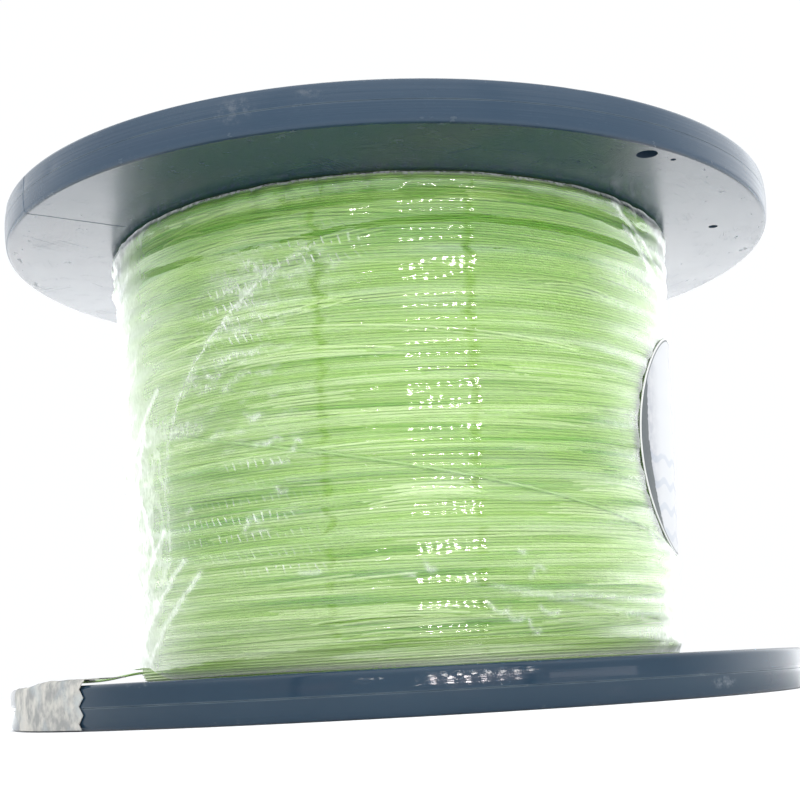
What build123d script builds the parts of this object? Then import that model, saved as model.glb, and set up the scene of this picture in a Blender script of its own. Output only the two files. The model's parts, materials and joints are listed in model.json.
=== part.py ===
from build123d import *
import math
import os

os.makedirs("parts", exist_ok=True)

# Bulk fishing line spool, standing on its lower flange. Millimetres, +Z along the spindle bore.
# The origin is the centre of the bore on the lower flange's outer face.
# Angles go round +Z from the -Y side towards +X.

# Driving dimensions
FLANGE_RADIUS = 75.0
RIM_HEIGHT = 7.2
TRAVERSE = 82.0
BARREL_RADIUS = 36.0
BORE_RADIUS = 8.0
WOUND_RADIUS_BOTTOM = 51.6
WOUND_RADIUS_TOP = 54.0
LINE_DIAMETER = 0.45

# Flange halves
SEAM_HEIGHT = RIM_HEIGHT / 2
RIM_WALL = 6.5
RIM_ROUNDING = 0.8
SEAM_CHAMFER = 0.18
DISC_THICKNESS = 2.2
COVER_THICKNESS = 1.8
RIB_WIDTH = 2.0
RIB_SETBACK = 0.5
OUTER_RIB_COUNT = 12
INNER_RIB_COUNT = 6
BARREL_RING_INNER = 31.0
BARREL_RING_OUTER = 38.5
HUB_RADIUS = 17.0
SLEEVE_RADIUS = 13.5
SLEEVE_LENGTH = 3.0
DRIVE_HOLE_COUNT = 3
DRIVE_HOLE_RADIUS = 2.5
DRIVE_HOLE_PCD = 48.0
DRIVE_COLLAR_RADIUS = 4.6

# Small features of the upper flange's inner face
TIE_HOLE_RADIUS = 1.8
TIE_HOLE_REACH = 71.3
TIE_HOLE_ANGLE = 37.0
PIN_MARK_RADIUS = 0.5
PIN_MARK_REACH = 72.1
PIN_MARK_ANGLE = 41.6
GATE_MARK_RADIUS = 0.9
GATE_MARK_REACH = 64.6
GATE_MARK_ANGLE = 75.7
MARK_DEPTH = 0.5

# Barrel and centre tube
BARREL_WALL = 2.5
BARREL_SEAT_DEPTH = 2.0
ARBOR_WALL = 2.5
ARBOR_CHAMFER = 0.4

# Tape that anchors the first turns on the barrel
ANCHOR_THICKNESS = 0.2
ANCHOR_WIDTH = 19.0
ANCHOR_ARC = 60.0
ANCHOR_HEIGHT = 46.0

# Winding and its wrapping
WINDING_SHOULDER = 1.6
TAIL_GAP = 0.05
FILM_GAP = 0.75
FILM_THICKNESS = 0.12
FILM_BOTTOM_MARGIN = 2.5
FILM_TOP_MARGIN = 0.4

# Loose tail: it slants down over the winding, leaves it at the -X side and runs to the rim
TAIL_STEP_ANGLE = 10.0
TAIL_START_ANGLE = -50.0
TAIL_SLANT_END_ANGLE = 165.0
TAIL_LEAVE_ANGLE = 270.0
TAIL_START_HEIGHT = 49.5
TAIL_LEAVE_HEIGHT = 9.3
TAIL_ARC_SHARE = 0.45
TAIL_RIM_HEIGHT = 7.75
TAIL_END_REACH = 73.6
TAIL_END_X = -52.0
# The free run to the rim: share of the way, bow towards -X and height
TAIL_FREE_RUN = ((0.18, 0.15, 9.0), (0.36, 0.4, 8.6), (0.54, 0.5, 8.15), (0.72, 0.4, 7.9), (0.88, 0.15, 7.78))

# Round label on the film
LABEL_RADIUS = 21.0
LABEL_THICKNESS = 0.15
LABEL_ANGLE = 75.0
LABEL_HEIGHT = 46.5

# Paper tape on the lower rim
TAPE_THICKNESS = 0.15
TAPE_START_ANGLE = -65.5
TAPE_END_ANGLE = -43.2
TAPE_LIFT = 1.0
TAPE_FOOT = 0.1
TOOTH_PITCH = 2.7
TOOTH_DEPTH = 1.15
FLAP_TEETH = 3

# Sizes that follow
HEIGHT = TRAVERSE + 2 * RIM_HEIGHT
ARBOR_RADIUS = BORE_RADIUS + ARBOR_WALL
RIM_INNER = FLANGE_RADIUS - RIM_WALL
DISC_BACK = RIM_HEIGHT - DISC_THICKNESS
COVER_FACE = SEAM_HEIGHT - COVER_THICKNESS
UPPER_FACE = RIM_HEIGHT + TRAVERSE
TAPE_CREST = RIM_HEIGHT + TAPE_LIFT
TAPE_FLAP = FLAP_TEETH * TOOTH_PITCH
BAND_TEETH = round((TAPE_CREST - TAPE_FOOT) / TOOTH_PITCH)
WIND_LEAN = (WOUND_RADIUS_TOP - WOUND_RADIUS_BOTTOM) / TRAVERSE


def at_angle(reach, angle, height=0.0):
    """The point at a distance from the axis and an angle from -Y towards +X."""
    turn = math.radians(angle)
    return Vector(reach * math.sin(turn), -reach * math.cos(turn), height)


def ring(inner, outer, low, high):
    """A plain ring about the spool's axis."""
    body = Cylinder(outer, high - low, align=(Align.CENTER, Align.CENTER, Align.MIN))
    hole = Cylinder(inner, high - low, align=(Align.CENTER, Align.CENTER, Align.MIN))
    return Pos(0, 0, low) * (body - hole)


def revolved(outline):
    """A solid turned from an outline of (radius, height) points."""
    with BuildPart() as turned:
        with BuildSketch(Plane.XZ):
            with BuildLine():
                Polyline(*outline, close=True)
            make_face()
        revolve(axis=Axis.Z)
    return turned.part


def sector(inner, outer, low, high, start, end):
    """The part of a ring between two angles."""
    outline = [(inner, low), (outer, low), (outer, high), (inner, high)]
    with BuildPart() as turned:
        with BuildSketch(Plane.XZ):
            with BuildLine():
                Polyline(*outline, close=True)
            make_face()
        revolve(axis=Axis.Z, revolution_arc=end - start)
    # The section is drawn at +X, which is 90 degrees in this part's angles.
    return Rot(0, 0, start - 90) * turned.part


def radial_ribs(count, inner, outer, low, high, offset=0.0):
    """Evenly spaced flat ribs between two radii."""
    ribs = []
    for index in range(count):
        rib = Box(outer - inner, RIB_WIDTH, high - low, align=(Align.MIN, Align.CENTER, Align.MIN))
        ribs.append(Rot(0, 0, offset + index * 360 / count) * Pos(inner, 0, low) * rib)
    return ribs


def drive_columns(radius, low, high):
    """One upright cylinder at each drive hole."""
    columns = []
    for index in range(DRIVE_HOLE_COUNT):
        column = Cylinder(radius, high - low, align=(Align.CENTER, Align.CENTER, Align.MIN))
        columns.append(Rot(0, 0, index * 360 / DRIVE_HOLE_COUNT) * Pos(0, DRIVE_HOLE_PCD / 2, low) * column)
    return columns


def rim_edges(part, height):
    """The circular edges of the rim's outside at one height."""
    chosen = []
    for edge in part.edges().filter_by(GeomType.CIRCLE):
        if abs(edge.radius - FLANGE_RADIUS) < 0.01 and abs(edge.center().Z - height) < 0.01:
            chosen.append(edge)
    return chosen


def inner_disc():
    """The flange half that the line bears on, as it sits on the lower flange."""
    disc = ring(ARBOR_RADIUS, FLANGE_RADIUS, DISC_BACK, RIM_HEIGHT)
    disc += ring(RIM_INNER, FLANGE_RADIUS, SEAM_HEIGHT, DISC_BACK)
    disc += ring(BARREL_RING_INNER, BARREL_RING_OUTER, SEAM_HEIGHT, DISC_BACK)
    disc += ring(ARBOR_RADIUS, HUB_RADIUS, SEAM_HEIGHT, DISC_BACK)
    disc += ring(ARBOR_RADIUS, SLEEVE_RADIUS, RIM_HEIGHT, RIM_HEIGHT + SLEEVE_LENGTH)
    disc += radial_ribs(OUTER_RIB_COUNT, BARREL_RING_OUTER - 1, RIM_INNER + 1, SEAM_HEIGHT, DISC_BACK)
    disc += drive_columns(DRIVE_COLLAR_RADIUS, SEAM_HEIGHT, DISC_BACK)
    seat_floor = RIM_HEIGHT - BARREL_SEAT_DEPTH
    disc -= ring(BARREL_RADIUS - BARREL_WALL, BARREL_RADIUS, seat_floor, RIM_HEIGHT)
    disc -= drive_columns(DRIVE_HOLE_RADIUS, SEAM_HEIGHT, RIM_HEIGHT)
    disc = fillet(rim_edges(disc, RIM_HEIGHT), RIM_ROUNDING)
    return chamfer(rim_edges(disc, SEAM_HEIGHT), SEAM_CHAMFER)


def outer_cover():
    """The flange half with the outer face, as it sits on the lower flange."""
    cover = ring(ARBOR_RADIUS, FLANGE_RADIUS, COVER_FACE, SEAM_HEIGHT)
    cover += ring(RIM_INNER, FLANGE_RADIUS, 0, COVER_FACE)
    cover += ring(BARREL_RING_INNER, BARREL_RING_OUTER, 0, COVER_FACE)
    cover += ring(ARBOR_RADIUS, HUB_RADIUS, 0, COVER_FACE)
    cover += radial_ribs(OUTER_RIB_COUNT, BARREL_RING_OUTER - 1, RIM_INNER + 1, RIB_SETBACK, COVER_FACE)
    cover += radial_ribs(INNER_RIB_COUNT, HUB_RADIUS - 1, BARREL_RING_INNER + 1, RIB_SETBACK, COVER_FACE)
    cover += drive_columns(DRIVE_COLLAR_RADIUS, RIB_SETBACK, COVER_FACE)
    cover -= drive_columns(DRIVE_HOLE_RADIUS, 0, SEAM_HEIGHT)
    cover = fillet(rim_edges(cover, 0), RIM_ROUNDING)
    return chamfer(rim_edges(cover, SEAM_HEIGHT), SEAM_CHAMFER)


def turned_over(part):
    """The same moulding on the upper flange, facing the other way, with its drive holes in line."""
    return Pos(0, 0, HEIGHT) * Rot(0, 180, 0) * part


def upright_hole(radius, reach, angle, low, high):
    """A cutter for an upright hole at a distance and angle."""
    cutter = Cylinder(radius, high - low, align=(Align.CENTER, Align.CENTER, Align.MIN))
    return Pos(*at_angle(reach, angle, low)) * cutter


def wound_radius(height):
    """The winding's radius at a height: it is a little fuller at the top."""
    return WOUND_RADIUS_BOTTOM + WIND_LEAN * (height - RIM_HEIGHT)


def conical_ring(gap, thickness, low, high):
    """A thin shell that follows the winding at a gap from it."""
    return revolved([
        (wound_radius(low) + gap, low),
        (wound_radius(low) + gap + thickness, low),
        (wound_radius(high) + gap + thickness, high),
        (wound_radius(high) + gap, high),
    ])


def anchor_tape():
    """The tape round part of the barrel that holds the line's first turns."""
    low = ANCHOR_HEIGHT - ANCHOR_WIDTH / 2
    outer = BARREL_RADIUS + ANCHOR_THICKNESS
    return sector(BARREL_RADIUS, outer, low, low + ANCHOR_WIDTH, 0, ANCHOR_ARC)


def winding():
    """The wound line as one solid, with its first turns over the anchor tape."""
    wound = revolved([
        (BARREL_RADIUS, RIM_HEIGHT),
        (WOUND_RADIUS_BOTTOM - WINDING_SHOULDER, RIM_HEIGHT),
        (wound_radius(RIM_HEIGHT + WINDING_SHOULDER), RIM_HEIGHT + WINDING_SHOULDER),
        (wound_radius(UPPER_FACE - WINDING_SHOULDER), UPPER_FACE - WINDING_SHOULDER),
        (WOUND_RADIUS_TOP - WINDING_SHOULDER, UPPER_FACE),
        (BARREL_RADIUS, UPPER_FACE),
    ])
    return wound - anchor_tape()


def tail_height(angle):
    """How high the tail lies on the winding at an angle."""
    share = min(1.0, (angle - TAIL_START_ANGLE) / (TAIL_SLANT_END_ANGLE - TAIL_START_ANGLE))
    return TAIL_START_HEIGHT + (TAIL_LEAVE_HEIGHT - TAIL_START_HEIGHT) * share


def tail_route():
    """The corners of the tail's route, standing off so that its rounded runs clear the winding."""
    stand_off = LINE_DIAMETER / 2 + TAIL_GAP
    half_step = math.radians(TAIL_STEP_ANGLE / 2)
    route = []
    steps = round((TAIL_LEAVE_ANGLE - TAIL_START_ANGLE) / TAIL_STEP_ANGLE)
    for step in range(steps + 1):
        angle = TAIL_START_ANGLE + step * TAIL_STEP_ANGLE
        height = tail_height(angle)
        reach = (wound_radius(height) + stand_off) / math.cos(half_step)
        route.append(at_angle(reach, angle, height))
    leave = route[-1]
    end_y = -math.sqrt(TAIL_END_REACH**2 - TAIL_END_X**2)
    end = Vector(TAIL_END_X, end_y, TAIL_RIM_HEIGHT)
    for share, bow, height in TAIL_FREE_RUN:
        along = leave + (end - leave) * share
        route.append(Vector(along.X - bow, along.Y, height))
    route.append(end)
    return route


def tail_radii(route):
    """The bend at each corner of the tail's route."""
    radii = []
    for before, corner, after in zip(route, route[1:], route[2:]):
        run = min((corner - before).length, (after - corner).length)
        turn = math.radians((corner - before).get_angle(after - corner))
        radii.append(TAIL_ARC_SHARE * run / math.tan(turn / 2))
    return radii


def line_tail():
    """The loose last turn and the free end, as one tube."""
    route = tail_route()
    radii = tail_radii(route)
    print("tail bend radii", [round(radius) for radius in radii])
    path = FilletPolyline(*route, radius=radii)
    section = Plane(origin=route[0], z_dir=route[1] - route[0]) * Circle(LINE_DIAMETER / 2)
    tube = sweep(section, path=path)
    print("tail length", round(path.length, 1), "volume", round(tube.volume, 2),
          "section times length", round(math.pi * LINE_DIAMETER**2 / 4 * path.length, 2))
    return tube


def round_label():
    """The round sticker, bent to the film."""
    low = LABEL_HEIGHT - LABEL_RADIUS - 1
    high = LABEL_HEIGHT + LABEL_RADIUS + 1
    skin = conical_ring(FILM_GAP + FILM_THICKNESS, LABEL_THICKNESS, low, high)
    reach = WOUND_RADIUS_TOP
    punch = Cylinder(LABEL_RADIUS, reach, align=(Align.CENTER, Align.CENTER, Align.MIN))
    punch = Pos(0, 0, LABEL_HEIGHT) * Rot(0, 0, LABEL_ANGLE) * Rot(90, 0, 0) * Pos(0, 0, reach / 4) * punch
    return skin & punch


def notches(side, count, start):
    """Flat outlines of the gaps between teeth. side is 1 where the tape lies towards +X of its end."""
    faces = []
    for tooth in range(count):
        low = start + tooth * TOOTH_PITCH
        tip = (side * TOOTH_DEPTH, low + TOOTH_PITCH / 2)
        faces.append(make_face(Polyline((0, low), tip, (0, low + TOOTH_PITCH), close=True).edges()))
    return faces


def tooth_cutters(angle, side):
    """Cutters that give the band and the flap one zigzag end."""
    cutters = []
    for face in notches(side, BAND_TEETH, TAPE_FOOT):
        cutters.append(Rot(0, 0, angle) * extrude(Plane.XZ * face, amount=FLANGE_RADIUS + 1))
    for face in notches(side, FLAP_TEETH, -FLANGE_RADIUS - TAPE_THICKNESS):
        cutters.append(Rot(0, 0, angle) * Pos(0, 0, TAPE_CREST) * extrude(face, amount=1))
    return cutters


def rim_tape():
    """The paper tape: a band on the rim and a flap turned in over the flange, over the line's end."""
    outer = FLANGE_RADIUS + TAPE_THICKNESS
    top = TAPE_CREST + TAPE_THICKNESS
    band = sector(FLANGE_RADIUS, outer, TAPE_FOOT, TAPE_CREST, TAPE_START_ANGLE, TAPE_END_ANGLE)
    flap = sector(outer - TAPE_FLAP, outer, TAPE_CREST, top, TAPE_START_ANGLE, TAPE_END_ANGLE)
    tape = band + flap
    tape -= tooth_cutters(TAPE_START_ANGLE, 1)
    tape -= tooth_cutters(TAPE_END_ANGLE, -1)
    return tape


def built():
    """Every piece by its node's name."""
    lower_disc = inner_disc()
    lower_cover = outer_cover()
    disc = turned_over(lower_disc)
    cover = turned_over(lower_cover)
    tie_hole = upright_hole(TIE_HOLE_RADIUS, TIE_HOLE_REACH, TIE_HOLE_ANGLE, UPPER_FACE, HEIGHT)
    disc -= tie_hole
    cover -= tie_hole
    mark_top = UPPER_FACE + MARK_DEPTH
    disc -= upright_hole(PIN_MARK_RADIUS, PIN_MARK_REACH, PIN_MARK_ANGLE, UPPER_FACE, mark_top)
    disc -= upright_hole(GATE_MARK_RADIUS, GATE_MARK_REACH, GATE_MARK_ANGLE, UPPER_FACE, mark_top)
    arbor = revolved([
        (BORE_RADIUS + ARBOR_CHAMFER, 0),
        (ARBOR_RADIUS, 0),
        (ARBOR_RADIUS, HEIGHT),
        (BORE_RADIUS + ARBOR_CHAMFER, HEIGHT),
        (BORE_RADIUS, HEIGHT - ARBOR_CHAMFER),
        (BORE_RADIUS, ARBOR_CHAMFER),
    ])
    seat_floor = RIM_HEIGHT - BARREL_SEAT_DEPTH
    barrel = ring(BARREL_RADIUS - BARREL_WALL, BARREL_RADIUS, seat_floor, HEIGHT - seat_floor)
    film_low = RIM_HEIGHT + FILM_BOTTOM_MARGIN
    film_high = UPPER_FACE - FILM_TOP_MARGIN
    return {
        "lower_inner_disc": lower_disc,
        "lower_outer_cover": lower_cover,
        "upper_inner_disc": disc,
        "upper_outer_cover": cover,
        "winding_barrel": barrel,
        "arbor_tube": arbor,
        "core_anchor_tape": anchor_tape(),
        "line_winding": winding(),
        "line_tail": line_tail(),
        "stretch_film": conical_ring(FILM_GAP, FILM_THICKNESS, film_low, film_high),
        "round_label": round_label(),
        "rim_tape": rim_tape(),
    }


for name, piece in built().items():
    export_step(piece, "parts/" + name + ".step")
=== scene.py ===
"""Fishing line spool: the looks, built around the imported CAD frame. +Z goes up the spindle bore.

Shapes are worked out in millimetres and scaled to metres when a mesh is made. Angles are in degrees,
round +Z from the -Y side towards +X, as in the CAD part.
"""
import json
import math

import bpy
import bmesh
import numpy as np
from mathutils import Matrix, Vector

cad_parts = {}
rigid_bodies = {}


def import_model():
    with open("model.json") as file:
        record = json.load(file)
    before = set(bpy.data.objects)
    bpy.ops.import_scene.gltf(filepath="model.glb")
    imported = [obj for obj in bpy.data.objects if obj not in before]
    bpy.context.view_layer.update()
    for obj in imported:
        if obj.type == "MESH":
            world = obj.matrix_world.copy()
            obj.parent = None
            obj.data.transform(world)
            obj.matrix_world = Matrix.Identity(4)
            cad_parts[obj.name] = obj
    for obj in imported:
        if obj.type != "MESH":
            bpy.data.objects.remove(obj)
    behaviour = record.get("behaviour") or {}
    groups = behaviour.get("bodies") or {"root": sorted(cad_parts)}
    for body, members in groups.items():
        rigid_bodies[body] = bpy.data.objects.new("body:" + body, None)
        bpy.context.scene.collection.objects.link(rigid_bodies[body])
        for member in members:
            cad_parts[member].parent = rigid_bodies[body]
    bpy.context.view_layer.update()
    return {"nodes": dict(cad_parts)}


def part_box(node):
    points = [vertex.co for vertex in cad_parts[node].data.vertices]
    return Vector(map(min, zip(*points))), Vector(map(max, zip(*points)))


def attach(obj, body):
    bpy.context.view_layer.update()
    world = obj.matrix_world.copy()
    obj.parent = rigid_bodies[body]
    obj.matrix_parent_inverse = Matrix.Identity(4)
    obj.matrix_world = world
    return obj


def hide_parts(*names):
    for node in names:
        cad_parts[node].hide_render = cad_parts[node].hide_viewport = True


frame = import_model()
MM = 0.001
BODY = "root"
SCENE = bpy.context.scene

# ---------------------------------------------------------------- sizes in millimetres, read from the frame
WOUND_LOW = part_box("line_winding")[0].z / MM
WOUND_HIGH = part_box("line_winding")[1].z / MM
WOUND_TOP_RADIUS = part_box("line_winding")[1].x / MM
FLANGE_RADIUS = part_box("lower_outer_cover")[1].x / MM
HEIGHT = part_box("upper_outer_cover")[1].z / MM
BARREL_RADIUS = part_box("winding_barrel")[1].x / MM
ARBOR_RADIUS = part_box("arbor_tube")[1].x / MM
FILM_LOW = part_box("stretch_film")[0].z / MM
FILM_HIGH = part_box("stretch_film")[1].z / MM
SEAM_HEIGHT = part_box("lower_outer_cover")[1].z / MM
RIM_HEIGHT = WOUND_LOW

# Sizes the frame's boxes don't give, the same as in the CAD part
WOUND_BOTTOM_RADIUS = WOUND_TOP_RADIUS - 2.4
WINDING_SHOULDER = 1.6
LINE_DIAMETER = 0.45


def wound_radius(height):
    """The winding's radius at a height above the floor."""
    share = (height - WOUND_LOW) / (WOUND_HIGH - WOUND_LOW)
    return WOUND_BOTTOM_RADIUS + (WOUND_TOP_RADIUS - WOUND_BOTTOM_RADIUS) * share


# ---------------------------------------------------------------- camera
CAMERA_PLACE = Vector((0, -282.7, 5.9)) * MM
CAMERA_TURN = math.radians(2.71)
CAMERA_PITCH = math.radians(7.66)
CAMERA_ROLL = math.radians(-3.14)
CAMERA_LENS = 64.34
CAMERA_SHIFT = (-0.0875, 0.1)


def make_camera():
    """The camera stands low, near the lower flange's level, looks a little up and is rolled a little."""
    data = bpy.data.cameras.new("camera")
    camera = bpy.data.objects.new("camera", data)
    SCENE.collection.objects.link(camera)
    turn = Matrix.Rotation(-CAMERA_TURN, 4, "Z")
    pitch = Matrix.Rotation(math.pi / 2 + CAMERA_PITCH, 4, "X")
    roll = Matrix.Rotation(CAMERA_ROLL, 4, "Z")
    camera.matrix_world = Matrix.Translation(CAMERA_PLACE) @ turn @ pitch @ roll
    data.sensor_width = 36
    data.lens = CAMERA_LENS
    data.shift_x, data.shift_y = CAMERA_SHIFT
    data.clip_start = 0.005
    data.clip_end = 20
    SCENE.camera = camera


# ---------------------------------------------------------------- light
def area_light(name, size, angle, reach, height, radiance, target=(0, 0, 0.05), tint=(1, 1, 1)):
    """A rectangular softbox at an angle round the spool that faces a point, with its brightness as seen."""
    data = bpy.data.lights.new(name, "AREA")
    data.shape = "RECTANGLE"
    data.size, data.size_y = size
    data.energy = radiance * math.pi * size[0] * size[1]
    data.color = tint
    light = bpy.data.objects.new(name, data)
    SCENE.collection.objects.link(light)
    turn = math.radians(angle)
    light.location = (reach * math.sin(turn), -reach * math.cos(turn), height)
    light.rotation_euler = (Vector(target) - light.location).to_track_quat("-Z", "Y").to_euler()
    light.visible_camera = False
    return light


# Brightness of the surround: everywhere, and added in front, at the right and at the left
SURROUND_LEVEL = 1.03
SURROUND_FRONT = 1.42
SURROUND_RIGHT = 1.55
SURROUND_LEFT = 0.6
SURROUND_TINT = (0.97, 0.985, 1)
# The softbox over the floor behind, which makes the floor white there
BEHIND_SIZE = (1.1, 0.5)
BEHIND_REACH = 0.46
BEHIND_HEIGHT = 0.8
BEHIND_RADIANCE = 3.7
BEHIND_SPREAD = 55
LAMP_REACH = 0.62
WARM = (1, 0.94, 0.88)
# Groups of lamps: name, columns, heights, middle angle, angle between columns, size, radiance and tint.
# Images of the first and the last show in the film, and those of the others on the lower rim.
LAMP_GROUPS = (
    ("lamp", 8, (0.12, 0.17), 17.0, 3.6, (0.011, 0.008), 95.0, WARM),
    ("rim_lamp", 6, (0.094, 0.057), 15.5, 4.2, (0.014, 0.005), 170.0, (1, 0.9, 0.88)),
    ("rim_glow", 1, (0.055,), 46.5, 0.0, (0.27, 0.06), 2.0, (1, 0.92, 0.94)),
    ("small_lamp", 3, (0.12,), -10.1, 2.4, (0.009, 0.006), 70.0, WARM),
)
FLOOR_REACH = 4000.0
FLOOR_GLOW = 0.14
FLAG_ANGLE = 29.0
FLAG_WIDTH = 62.0
FLAG_HEIGHT = 700.0


def make_surround():
    """A white surround, brighter in front from a little above, and brightest at the right."""
    world = bpy.data.worlds.new("surround")
    world.use_nodes = True
    SCENE.world = world
    sky = Nodes(world.node_tree, world.node_tree.nodes["Background"])
    turn, _, z = sky.parts(sky.swept(sky.add("ShaderNodeTexCoord", {}, "Generated")))
    turn = sky.math("DEGREES", turn)
    front = sky.step(abs(turn), 95.0, 55.0) * sky.step(z, 0.2, 0.65)
    right = sky.step(turn, 72.0, 112.0) * sky.step(turn, 165.0, 140.0)
    left = sky.step(turn, -80.0, -110.0) * sky.step(turn, -165.0, -145.0)
    aside = right * SURROUND_RIGHT + left * SURROUND_LEFT
    sky.link("Strength", front * SURROUND_FRONT + aside * sky.step(z, 0.9, 0.5) + SURROUND_LEVEL)
    sky.link("Color", SURROUND_TINT)


def make_flag(name, angle):
    """A dark upright strip with soft edges that only shows in reflections, beside the lamps."""
    half = FLAG_WIDTH / 2
    turn = math.radians(angle)
    across = np.array([math.cos(turn), math.sin(turn)])
    middle = np.array([math.sin(turn), -math.cos(turn)]) * LAMP_REACH / MM * 1.05
    corners = [(*(middle + across * side), height) for side, height in
               ((-half, 0), (half, 0), (half, FLAG_HEIGHT), (-half, FLAG_HEIGHT))]
    flag = add_mesh(name, corners, [(0, 1, 2, 3)])
    values = {"Base Color": (0, 0, 0), "Specular IOR Level": 0.0, "Emission Color": SURROUND_TINT}
    cloth = Shader(name, values)
    x, y, _ = cloth.parts(cloth.place())
    aside = abs(x * float(across[0]) + y * float(across[1]))
    cloth.link("Emission Strength", cloth.step(aside, 0.1 * half * MM, half * MM, 0.2, 1.1))
    flag.data.materials.append(cloth.material)
    flag.visible_camera = False
    flag.visible_diffuse = False
    flag.visible_shadow = False


def make_lights():
    """The surround, a softbox over the floor behind, two dark strips, and the lamps in front."""
    make_surround()
    behind = area_light("behind", BEHIND_SIZE, 180, BEHIND_REACH, BEHIND_HEIGHT, BEHIND_RADIANCE,
                        target=(0, BEHIND_REACH + MM, 0))
    behind.data.spread = math.radians(BEHIND_SPREAD)
    make_flag("flag_left", -FLAG_ANGLE)
    make_flag("flag_right", FLAG_ANGLE)
    for name, columns, heights, middle, step, size, radiance, tint in LAMP_GROUPS:
        for column in range(columns):
            angle = middle + (column - (columns - 1) / 2) * step
            for row, height in enumerate(heights):
                area_light(f"{name}_{column}_{row}", size, angle, LAMP_REACH, height, radiance, tint=tint)


def make_floor():
    """A plain pale floor that meets the white surround."""
    corners = [(side_x * FLOOR_REACH, side_y * FLOOR_REACH, 0) for side_x, side_y in
               ((-1, -1), (1, -1), (1, 1), (-1, 1))]
    floor = add_mesh("floor", corners, [(0, 1, 2, 3)])
    values = {"Roughness": 0.9, "Emission Color": (1, 1, 1), "Emission Strength": FLOOR_GLOW}
    paint = Shader("floor_paint", values)
    mottling = paint.noise(paint.place(), 6.0, 2)
    paint.link("Base Color", paint.mix(mottling, (0.86, 0.87, 0.88), (0.9, 0.9, 0.9)))
    floor.data.materials.append(paint.material)


# ---------------------------------------------------------------- mesh helpers
def add_mesh(name, points, faces):
    """A smooth mesh object from points in millimetres and faces, an array of quads or a list of corners."""
    mesh = bpy.data.meshes.new(name)
    points = np.asarray(points, float).reshape(-1, 3) * MM
    if isinstance(faces, np.ndarray):
        mesh.vertices.add(len(points))
        mesh.vertices.foreach_set("co", points.astype(np.float32).ravel())
        mesh.loops.add(faces.size)
        mesh.loops.foreach_set("vertex_index", faces.astype(np.int32).ravel())
        mesh.polygons.add(len(faces))
        mesh.polygons.foreach_set("loop_start", np.arange(0, faces.size, 4, dtype=np.int32))
    else:
        mesh.from_pydata(points.tolist(), [], faces)
    mesh.update(calc_edges=True)
    mesh.validate()
    mesh.shade_smooth()
    made = bpy.data.objects.new(name, mesh)
    SCENE.collection.objects.link(made)
    return made


def grid_faces(rows, columns, wrap_rows=False, wrap_columns=False, flip=False):
    """Quads between the neighbouring points of a grid, whose rows or columns may close on themselves."""
    row, column = np.meshgrid(
        np.arange(rows if wrap_rows else rows - 1),
        np.arange(columns if wrap_columns else columns - 1),
        indexing="ij",
    )
    next_row = (row + 1) % rows
    next_column = (column + 1) % columns
    corners = [
        row * columns + column,
        next_row * columns + column,
        next_row * columns + next_column,
        row * columns + next_column,
    ]
    if flip:
        corners.reverse()
    return np.stack(corners, -1).reshape(-1, 4)


def around(angle, reach, height):
    """Points at angles in degrees, distances from the axis and heights."""
    turn = np.radians(angle)
    return np.stack(np.broadcast_arrays(reach * np.sin(turn), -reach * np.cos(turn), height), -1)


def set_attribute(piece, name, values):
    """A number at every point, for the piece's material."""
    attribute = piece.data.attributes.new(name, "FLOAT", "POINT")
    attribute.data.foreach_set("value", np.asarray(values, np.float32).ravel())


def own(piece, slot, material, *nodes):
    """The piece rides on the spool, with its material, and the CAD nodes it stands for are hidden. The slot
    is not used.
    """
    piece.data.materials.clear()
    piece.data.materials.append(material)
    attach(piece, BODY)
    if nodes:
        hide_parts(*nodes)


def two_skins(name, outer, inner, faces, borders):
    """A closed sheet: two skins with the same faces, and sides between them along each border's points."""
    count = outer.size // 3
    sides = [np.stack([ring, np.roll(ring, -1), np.roll(ring, -1) + count, ring + count], -1)
             for ring in borders]
    points = np.concatenate([outer.reshape(-1, 3), inner.reshape(-1, 3)])
    piece = add_mesh(name, points, np.concatenate([faces, faces[:, ::-1] + count, *sides]))
    fix_normals(piece)
    return piece


def thick_sheet(name, points, thickness):
    """A grid of points with a second skin behind it. Rows go up, columns go round."""
    rows, columns = points.shape[:2]
    normal = np.cross(np.gradient(points, axis=1), np.gradient(points, axis=0))
    normal /= np.linalg.norm(normal, axis=-1, keepdims=True) + 1e-12
    index = np.arange(rows * columns).reshape(rows, columns)
    border = np.concatenate([index[0, :-1], index[:-1, -1], index[-1, :0:-1], index[:0:-1, 0]])
    faces = grid_faces(rows, columns, flip=True)
    return two_skins(name, points, points - normal * thickness, faces, [border])


def fix_normals(piece):
    """All faces of a closed mesh face out."""
    work = bmesh.new()
    work.from_mesh(piece.data)
    bmesh.ops.recalc_face_normals(work, faces=work.faces)
    work.to_mesh(piece.data)
    work.free()


def smooth_noise(rng, count, spacing):
    """Smooth values from -1 to 1 along a line, with a fresh one every so many steps."""
    knots = rng.uniform(-1, 1, int(count / spacing) + 4)
    place = np.arange(count) / spacing
    index = place.astype(int)
    share = place - index
    share = share * share * (3 - 2 * share)
    return knots[index] * (1 - share) + knots[index + 1] * share


def wave_field(rng, angle, height, count, most_round, shortest):
    """A smooth field of about -1 to 1 round the spool and up it, from a few random waves."""
    total = np.zeros(np.broadcast(angle, height).shape)
    for _ in range(count):
        waves = rng.integers(-most_round, most_round + 1)
        up = rng.uniform(-1, 1) * 2 * math.pi / shortest
        total += np.sin(np.radians(angle) * waves + height * up + rng.uniform(0, 2 * math.pi))
    return total / math.sqrt(count)


def ease(value, low, high):
    """0 below low, 1 above high and smooth between. Low may be the greater."""
    share = np.clip((value - low) / (high - low), 0, 1)
    return share * share * (3 - 2 * share)


def window(value, start, full, last, end):
    """0 outside start and end, 1 from full to last and smooth between."""
    return ease(value, start, full) * ease(value, end, last)


def bell(distance, width):
    """1 at no distance, and smoothly less on both sides."""
    return np.exp(-((distance / width) ** 2))


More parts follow.
